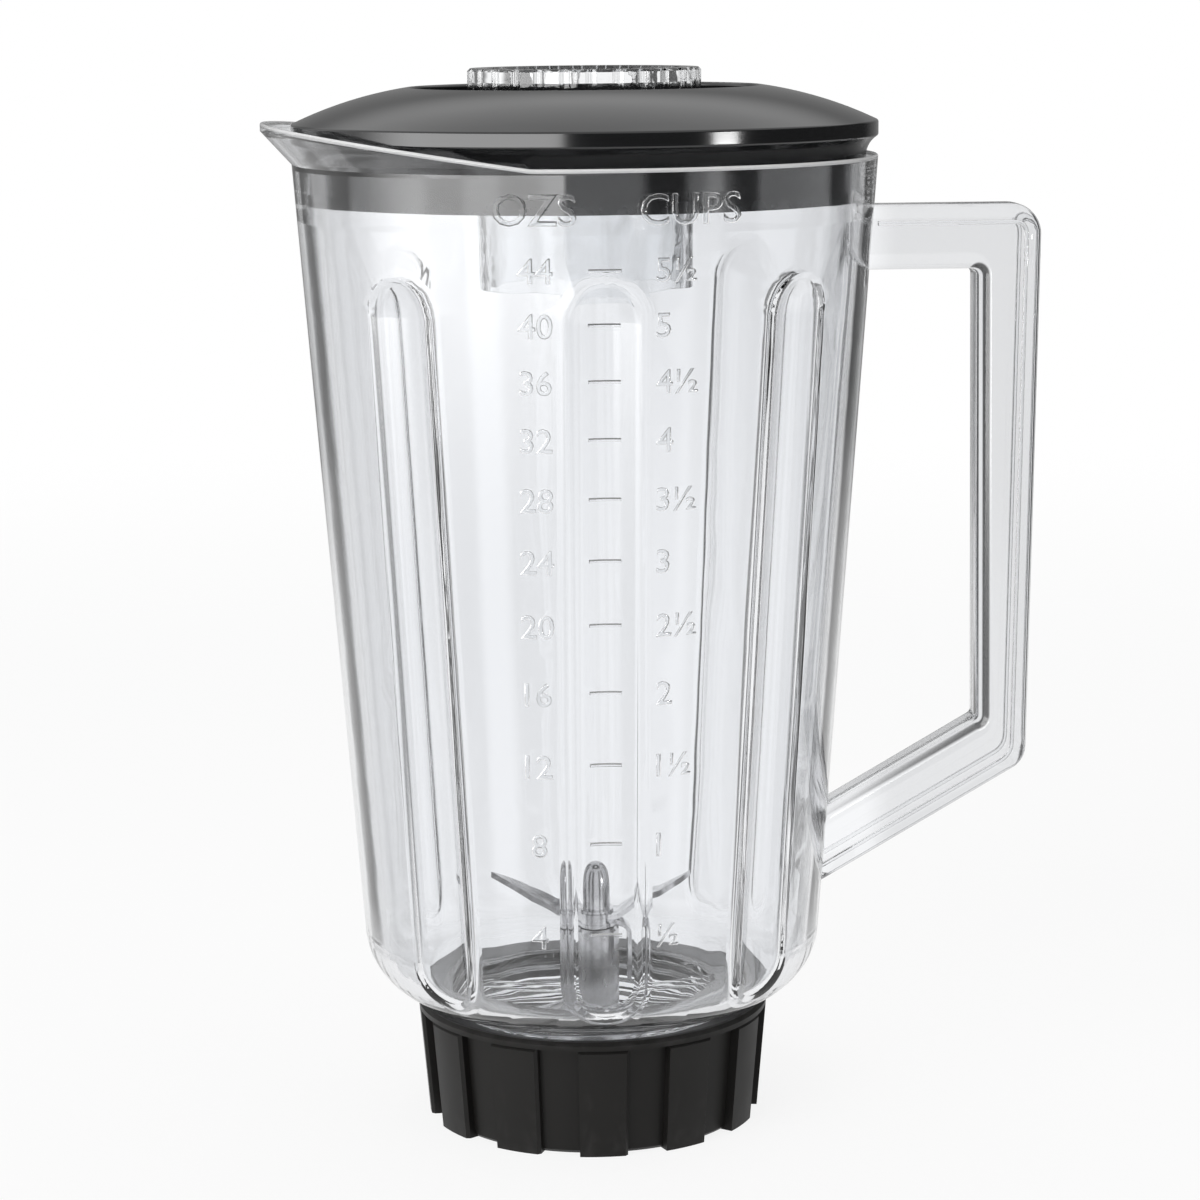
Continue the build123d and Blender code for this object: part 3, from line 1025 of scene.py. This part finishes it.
@dataclass
class RimBead:
    """The rounded edge of rim and spout, which catches the light, with a partly milky white finish that
    paints a highlight on it as a bright line.

    All lengths are in millimetres.

    Attributes:
        rim_radius: radius of the rim's round part.
        rim_height: height of the level part of the rim.
        spout_start: distance from the axis at which the edge starts to rise towards the spout.
        spout_slope: slope of the spout's edge, in degrees.
        outside: a radius that lies outside the edge all round.
        below: how far under the edge its outside is looked for.
        radius: radius of the bead.
        steps: points round the rim.
        sides: points round the bead.
        tries: rounds of looking for the edge, each nearer to it.
    """

    rim_radius: float = 64.8
    rim_height: float = 218.6
    spout_start: float = 15.0
    spout_slope: float = 8.0
    outside: float = 90.0
    below: float = 0.3
    radius: float = 0.45
    steps: int = 240
    sides: int = 10
    tries: int = 6

    def edge_height(self, x: float) -> float:
        """Give the height of the edge at a place across the jar, in millimetres."""
        return self.rim_height + max(0.0, -x - self.spout_start) * math.tan(math.radians(self.spout_slope))

    def edge_point(self, wall: BVHTree, out: Vector) -> Vector:
        """Find the outer edge of the rim in one direction.

        Args:
            wall: the jar's surface.
            out: the level direction from the axis.

        Returns:
            The point on the edge, in metres.
        """
        reach, height = self.rim_radius, self.rim_height
        for _ in range(self.tries):
            height = self.edge_height(out.x * reach)
            start = (out * self.outside + Vector((0.0, 0.0, height - self.below))) * MM
            reach = wall.ray_cast(start, -out)[0].xy.length / MM
        return (out * reach + Vector((0.0, 0.0, height))) * MM

    def build(self, wall: BVHTree) -> bpy.types.Object:
        """Run the bead round the rim.

        Args:
            wall: the jar's surface.

        Returns:
            The new piece.
        """
        radius = self.radius * MM
        rings = []
        for step in range(self.steps):
            turn = math.tau * step / self.steps
            out = Vector((math.cos(turn), math.sin(turn), 0.0))
            middle = self.edge_point(wall, out) - out * radius
            rings.append(ellipse(middle, out * radius, Vector((0.0, 0.0, radius)), self.sides))
        return tube_object("rim_bead", rings, closed=True, finish=RIM_PAINTED_HIGHLIGHT)


@dataclass
class NeckThread:
    """The screw thread between neck and collar, seen through the clear wall as pale ripples, brightened by
    painted light that it emits.

    All lengths are in millimetres.

    Attributes:
        radius: radius of the thread's middle, in the gap between neck and collar.
        depth: half of the ridge's depth.
        height: half of the ridge's height.
        low: height at which the thread starts.
        high: height at which it ends.
        pitch: rise of one turn.
        steps: points in one turn.
        sides: points round the ridge.
    """

    radius: float = 32.7
    depth: float = 0.16
    height: float = 1.05
    low: float = 10.0
    high: float = 24.0
    pitch: float = 3.4
    steps: int = 72
    sides: int = 10

    def build(self) -> bpy.types.Object:
        """Wind the thread round the neck.

        Returns:
            The new piece.
        """
        rings = []
        for step in range(int((self.high - self.low) / self.pitch * self.steps)):
            turn = math.tau * step / self.steps
            out = Vector((math.cos(turn), math.sin(turn), 0.0))
            rise = Vector((0.0, 0.0, self.low + self.pitch * step / self.steps))
            middle = (out * self.radius + rise) * MM
            up = Vector((0.0, 0.0, self.height * MM))
            rings.append(ellipse(middle, out * self.depth * MM, up, self.sides))
        return tube_object("neck_thread", rings, closed=False, finish=THREAD_PAINTED_GLOW)


@dataclass
class HandleBead:
    """The raised line that follows the handle's outer edge on both of its faces.

    All lengths are in millimetres, across the jar and up from the collar's foot.

    Attributes:
        start: place across the jar where the line leaves the wall.
        top: height of its level part.
        crown: place of its upper corner.
        heel: place and height of its lower corner.
        slope: slope of its lower part, in degrees.
        end: place where it meets the wall again.
        bend: how far from a corner its rounding starts.
        face: distance of the handle's faces from its middle plane.
        air: gap between bead and face.
        width: half of the bead's width.
        depth: half of its height over the face.
        tip: share of a straight part that its end takes up, so that the rest is shaded evenly.
        steps: points round a corner.
        sides: points round the bead.
    """

    start: float = 64.5
    top: float = 203.5
    crown: float = 97.94
    heel: tuple[float, float] = (96.04, 82.33)
    slope: float = 30.0
    end: float = 51.5
    bend: float = 3.0
    face: float = 6.5
    air: float = 0.04
    width: float = 0.5
    depth: float = 0.2
    tip: float = 0.01
    steps: int = 8
    sides: int = 12

    def path(self) -> list[Vector]:
        """Follow the handle's outer edge from wall to wall.

        Returns:
            The points in the handle's middle plane.
        """
        heel_x, heel_z = self.heel
        drop = (heel_x - self.end) * math.tan(math.radians(self.slope))
        places = ((self.start, self.top), (self.crown, self.top), self.heel, (self.end, heel_z - drop))
        first, crown, heel, last = (Vector((x, 0.0, z)) for x, z in places)
        points = [first, first.lerp(crown, self.tip)]
        for corner, after in ((crown, heel), (heel, last)):
            before = corner + (points[-1] - corner).normalized() * self.bend
            beyond = corner + (after - corner).normalized() * self.bend
            for step in range(self.steps + 1):
                share = step / self.steps
                points.append(before.lerp(corner, share).lerp(corner.lerp(beyond, share), share))
        return [*points, last.lerp(heel, self.tip), last]

    def build(self) -> list[bpy.types.Object]:
        """Lay the line on both faces.

        Returns:
            The new pieces.
        """
        points = self.path()
        level = Vector((0.0, 1.0, 0.0))
        pieces = []
        for name, side in (("handle_bead_front", -1.0), ("handle_bead_back", 1.0)):
            lift = level * side * (self.face + self.air + self.depth)
            rings = []
            for place, point in enumerate(points):
                along = points[min(place + 1, len(points) - 1)] - points[max(place - 1, 0)]
                across = along.normalized().cross(level) * self.width * MM
                rings.append(ellipse((point + lift) * MM, across, level * self.depth * MM, self.sides))
            pieces.append(tube_object(name, rings, closed=False, finish=MARK_CLEAR))
        return pieces


@dataclass
class Jar(SubAssembly):
    """The clear jar and what lies on its wall.

    Attributes:
        scale: the measuring scale.
        bead: the rounded edge of rim and spout.
        thread: the thread of the neck.
        handle: the lines on the handle.
    """

    scale: MeasuringScale
    bead: RimBead
    thread: NeckThread
    handle: HandleBead

    def build(self) -> list[bpy.types.Object]:
        """Make what lies on the jar's wall.

        Returns:
            The scale's pieces, the beads and the thread.
        """
        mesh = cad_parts["jar_body"].data
        wall = BVHTree.FromPolygons([v.co for v in mesh.vertices], [p.vertices for p in mesh.polygons])
        return [*self.scale.build(wall), self.bead.build(wall), self.thread.build(), *self.handle.build()]


@dataclass(frozen=True)
class Softbox:
    """A lamp of the studio.

    Attributes:
        name: the lamp's name.
        place: where it stands, in metres.
        size: its width and height, in metres.
        radiance: how bright its face is, where white paper in full light is 1.
        mirrored: whether its face shows in gloss.
    """

    name: str
    place: tuple[float, float, float]
    size: tuple[float, float]
    radiance: float
    mirrored: bool = False

    def build(self, aim: Vector) -> None:
        """Hang the lamp so that it faces the jar.

        Args:
            aim: the point that it faces.
        """
        data = bpy.data.lights.new(self.name, "AREA")
        data.shape = "RECTANGLE"
        data.size, data.size_y = self.size
        data.energy = LAMP_POWER * data.size * data.size_y * self.radiance
        lamp = bpy.data.objects.new(self.name, data)
        lamp.location = self.place
        lamp.rotation_euler = (aim - Vector(self.place)).to_track_quat("-Z", "Y").to_euler()
        lamp.visible_camera = lamp.visible_transmission = False
        lamp.visible_glossy = self.mirrored
        bpy.context.scene.collection.objects.link(lamp)
        LOG.info("studio: %s hung", self.name)


@dataclass
class Studio:
    """Pale floor, white surroundings with dark flags, and soft lamps.

    Attributes:
        lamps: the soft lamps.
        floor_size: width of the floor, in metres.
        floor_colour: colour of the floor.
        floor_white: share of plain white in the floor as the camera sees it.
        floor_near: where the floor starts and ends to give way to the flags in clear plastic, in metres.
        floor_fade: where it starts and ends to fade into the white surroundings, in metres.
        ambient: strength of the surroundings' light on the object.
        flag_pitch: angle between the white windows that the pairs of dark flags stand beside, in degrees.
        flag_angle: angle from the middle of a window to the flags on both sides of it, in degrees.
        flag_width: width of a flag, in degrees.
        flag_blur: width of a flag's soft edge, in degrees.
        flag_shade: brightness of a flag.
        flag_rise: upward part of the direction where the flags start and end to give way to white.
        panel: brightness of the panel on the left, seen in gloss.
        panel_turn: bearings between which the panel ends, in degrees from the back to the right.
        dusk: brightness of the dark side on the right, seen in gloss.
        dusk_turn: bearings between which it sets in.
        front_turn: bearings, to both sides, between which it sets in straight in front.
        sky: brightness overhead, seen in gloss.
        sky_rise: upward part of the direction where the sky sets in.
        back: how much is left of what gloss shows low behind the jar.
        back_turn: bearings, to both sides, between which the rest comes back.
        bounces: how often light may turn inside the clear walls.
    """

    lamps: tuple[Softbox, ...]
    floor_size: float = 8.0
    floor_colour: Colour = (0.86, 0.86, 0.86)
    floor_white: float = 0.86
    floor_near: tuple[float, float] = (0.1, 0.2)
    floor_fade: tuple[float, float] = (0.4, 1.2)
    ambient: float = 0.42
    flag_pitch: float = 90.0
    flag_angle: float = 29.0
    flag_width: float = 17.0
    flag_blur: float = 5.0
    flag_shade: float = 0.1
    flag_rise: tuple[float, float] = (0.6, 0.8)
    panel: float = 5.5
    panel_turn: tuple[float, float] = (-110.0, -75.0)
    dusk: float = 0.05
    dusk_turn: tuple[float, float] = (20.0, 45.0)
    front_turn: tuple[float, float] = (167.0, 170.0)
    sky: float = 0.9
    sky_rise: tuple[float, float] = (0.3, 0.55)
    back: float = 0.3
    back_turn: tuple[float, float] = (25.0, 55.0)
    bounces: int = 16

    def build(self) -> None:
        """Set up the whole studio."""
        bpy.context.scene.view_settings.view_transform = "Standard"
        light_paths = bpy.context.scene.cycles
        light_paths.max_bounces = self.bounces
        light_paths.glossy_bounces = light_paths.transmission_bounces = self.bounces
        self.build_floor()
        self.build_surroundings()
        low, high = CAD_BOX
        for lamp in self.lamps:
            lamp.build((low + high) / 2)

    def build_floor(self) -> None:
        """Lay the floor that the jar stands on."""
        half = self.floor_size / 2
        mesh = bpy.data.meshes.new("floor")
        corners = [(-half, -half, 0.0), (half, -half, 0.0), (half, half, 0.0), (-half, half, 0.0)]
        mesh.from_pydata(corners, [], [(0, 1, 2, 3)])
        floor = bpy.data.objects.new("floor", mesh)
        floor.location.z = CAD_BOX[0].z
        bpy.context.scene.collection.objects.link(floor)
        material = bpy.data.materials.new("pale_floor")
        material.use_nodes = True
        graph = Graph(material.node_tree)
        matt = graph.add("ShaderNodeBsdfDiffuse", {"Color": self.floor_colour})
        seen = graph.rays(Ray.CAMERA, Ray.GLOSSY, Ray.TRANSMISSION)
        white = graph.math("MULTIPLY", seen, self.floor_white)
        laid = graph.layer(white, matt, graph.add("ShaderNodeEmission"))
        away = graph.add("ShaderNodeVectorMath", {0: graph.spot()}, operation="LENGTH").outputs["Value"]
        beyond = graph.ramp(away, *self.floor_near)
        cleared = graph.math("MULTIPLY", graph.rays(Ray.TRANSMISSION), beyond)
        gone = graph.math("MAXIMUM", cleared, graph.ramp(away, *self.floor_fade))
        surface = graph.layer(gone, laid, graph.add("ShaderNodeBsdfTransparent"))
        graph.add("ShaderNodeOutputMaterial", {"Surface": surface.outputs[0]})
        mesh.materials.append(material)

    def build_surroundings(self) -> None:
        """Make the white surroundings, with what gloss and clear plastic see of them."""
        world = bpy.data.worlds.new("studio")
        bpy.context.scene.world = world
        world.use_nodes = True
        graph = Graph(world.node_tree)
        x, y, z = graph.axes("Generated")
        bearing = graph.math("ARCTAN2", x, y)
        gloss = self.gloss_view(graph, bearing, z)
        ambient = graph.blend(graph.rays(Ray.GLOSSY), self.ambient, gloss)
        clear = graph.blend(graph.rays(Ray.TRANSMISSION), ambient, self.clear_view(graph, bearing, z))
        shown = graph.blend(graph.rays(Ray.CAMERA), clear, 1.0)
        background = graph.add("ShaderNodeBackground", {"Color": WHITE, "Strength": shown})
        graph.add("ShaderNodeOutputWorld", {"Surface": background.outputs[0]})

    def clear_view(self, graph: Graph, bearing: Socket, rise: Socket) -> Socket:
        """Work out what shows through clear plastic: white with a ring of dark flags.

        Args:
            graph: the world's node tree.
            bearing: angle of the direction from the back, in radians.
            rise: upward part of the direction.

        Returns:
            The brightness socket.
        """
        half = math.radians(self.flag_pitch) / 2
        off = graph.math("PINGPONG", graph.math("ABSOLUTE", bearing), half)
        aside = graph.math("ABSOLUTE", graph.math("SUBTRACT", off, math.radians(self.flag_angle)))
        edge, soft = math.radians(self.flag_width) / 2, math.radians(self.flag_blur) / 2
        flag = graph.ramp(aside, edge - soft, edge + soft, 1.0, 0.0)
        low = graph.ramp(graph.math("ABSOLUTE", rise), *self.flag_rise, 1.0, 0.0)
        return graph.blend(graph.math("MULTIPLY", flag, low), 1.0, self.flag_shade)

    def gloss_view(self, graph: Graph, bearing: Socket, rise: Socket) -> Socket:
        """Work out what gloss reflects: a panel on the left, a dark right side, white above.

        Args:
            graph: the world's node tree.
            bearing: angle of the direction from the back, in radians.
            rise: upward part of the direction.

        Returns:
            The brightness socket.
        """
        lit = graph.ramp(bearing, *map(math.radians, self.panel_turn), self.panel, self.sky)
        right = graph.ramp(bearing, *map(math.radians, self.dusk_turn))
        aside = graph.math("ABSOLUTE", bearing)
        ahead = graph.ramp(aside, *map(math.radians, self.front_turn))
        face = graph.blend(graph.math("MAXIMUM", right, ahead), lit, self.dusk)
        behind = graph.ramp(aside, *map(math.radians, self.back_turn), self.back, 1.0)
        low = graph.ramp(rise, *self.sky_rise, 1.0, 0.0)
        return graph.blend(low, self.sky, graph.math("MULTIPLY", face, behind))


@dataclass
class PhotoCamera:
    """The camera as it stood for the photograph.

    Lengths are in millimetres and angles in degrees.

    Attributes:
        turn: angle of the camera round the jar, from the front towards the spout.
        distance: level distance from the jar's axis.
        height: height over the collar's foot.
        pitch: how far the camera looks down.
        roll: how far the picture is turned.
        aside: how far the camera looks past the axis, to the right.
        focal: focal length in pixels of a picture as wide as frame_width.
        frame_width: width of the picture, in pixels.
        sensor: width of the camera's sensor.
        clip: nearest and farthest distance that is seen, in metres.
    """

    turn: float = 3.5
    distance: float = 738.0
    height: float = 252.0
    pitch: float = 10.23
    roll: float = 0.5
    aside: float = 2.5
    focal: float = 3305.0
    frame_width: float = 1200.0
    sensor: float = 36.0
    clip: tuple[float, float] = (0.01, 50.0)

    def build(self) -> None:
        """Place the camera and make it the scene's own."""
        data = bpy.data.cameras.new("camera")
        data.sensor_width = self.sensor
        data.lens = data.sensor_width * self.focal / self.frame_width
        data.clip_start, data.clip_end = self.clip
        camera = bpy.data.objects.new("camera", data)
        bpy.context.scene.collection.objects.link(camera)
        turn, pitch, roll = (math.radians(angle) for angle in (self.turn, self.pitch, self.roll))
        ahead = Vector((math.sin(turn), math.cos(turn), 0.0))
        across = Vector((math.cos(turn), -math.sin(turn), 0.0))
        up = Vector((0.0, 0.0, 1.0))
        place = (up * self.height - ahead * self.distance) * MM
        level = (ahead * self.distance + across * self.aside).normalized()
        right = level.cross(up).normalized()
        look = level * math.cos(pitch) - up * math.sin(pitch)
        top = right.cross(look)
        right_rolled = right * math.cos(roll) - top * math.sin(roll)
        top_rolled = right * math.sin(roll) + top * math.cos(roll)
        turned = Matrix((right_rolled, top_rolled, -look)).transposed()
        camera.matrix_world = Matrix.Translation(place) @ turned.to_4x4()
        bpy.context.scene.camera = camera


def main() -> None:
    """Build the jar's groups in order, then the studio and the camera."""
    logging.basicConfig(level=logging.INFO, format="%(name)s: %(message)s")
    groups: list[SubAssembly] = [
        Jar(
            "jar",
            Body.JAR,
            {"jar_body": JAR_CLEAR},
            MeasuringScale(),
            RimBead(),
            NeckThread(),
            HandleBead(),
        ),
        SubAssembly("lid", Body.JAR, {"lid": LID_BLACK, "filler_cap": CAP_CLEAR}),
        SubAssembly("collar", Body.JAR, {"retaining_collar": COLLAR_BLACK, "jar_gasket": GASKET_RUBBER}),
        SubAssembly(
            "bearing",
            Body.JAR,
            {
                "bearing_housing": STEEL_TURNED,
                "lower_bushing": BRONZE,
                "upper_bushing": BRONZE,
                "oil_felt": OIL_FELT,
                "shaft_seal": SEAL_RUBBER,
                "thrust_washer": BRONZE,
            },
        ),
        SubAssembly(
            "cutter",
            Body.CUTTER,
            {
                "spindle": STEEL_TURNED,
                "retaining_clip": STEEL_TURNED,
                "slinger_washer": STEEL_TURNED,
                "drive_coupling": STEEL_TURNED,
                "spacer_washer": STEEL_TURNED,
                "wing_blade": STEEL_GROUND,
                "sweep_blade": STEEL_GROUND,
                "nut_washer": STEEL_TURNED,
                "dome_nut": STEEL_TURNED,
            },
        ),
    ]
    for group in groups:
        for piece in group.build():
            LOG.info("%s: %s built with %d faces", group.title, piece.name, len(piece.data.polygons))
        group.dress()
    lamps = (
        Softbox("key_softbox", (-0.9, -1.0, 1.3), (0.9, 0.9), 4.0),
        Softbox("strip_softbox", (1.08, -0.89, 0.13), (0.24, 0.07), 36.0, mirrored=True),
        Softbox("top_softbox", (0.1, 0.2, 1.7), (1.2, 1.2), 1.5),
    )
    Studio(lamps).build()
    PhotoCamera().build()


if __name__ == "__main__":
    main()
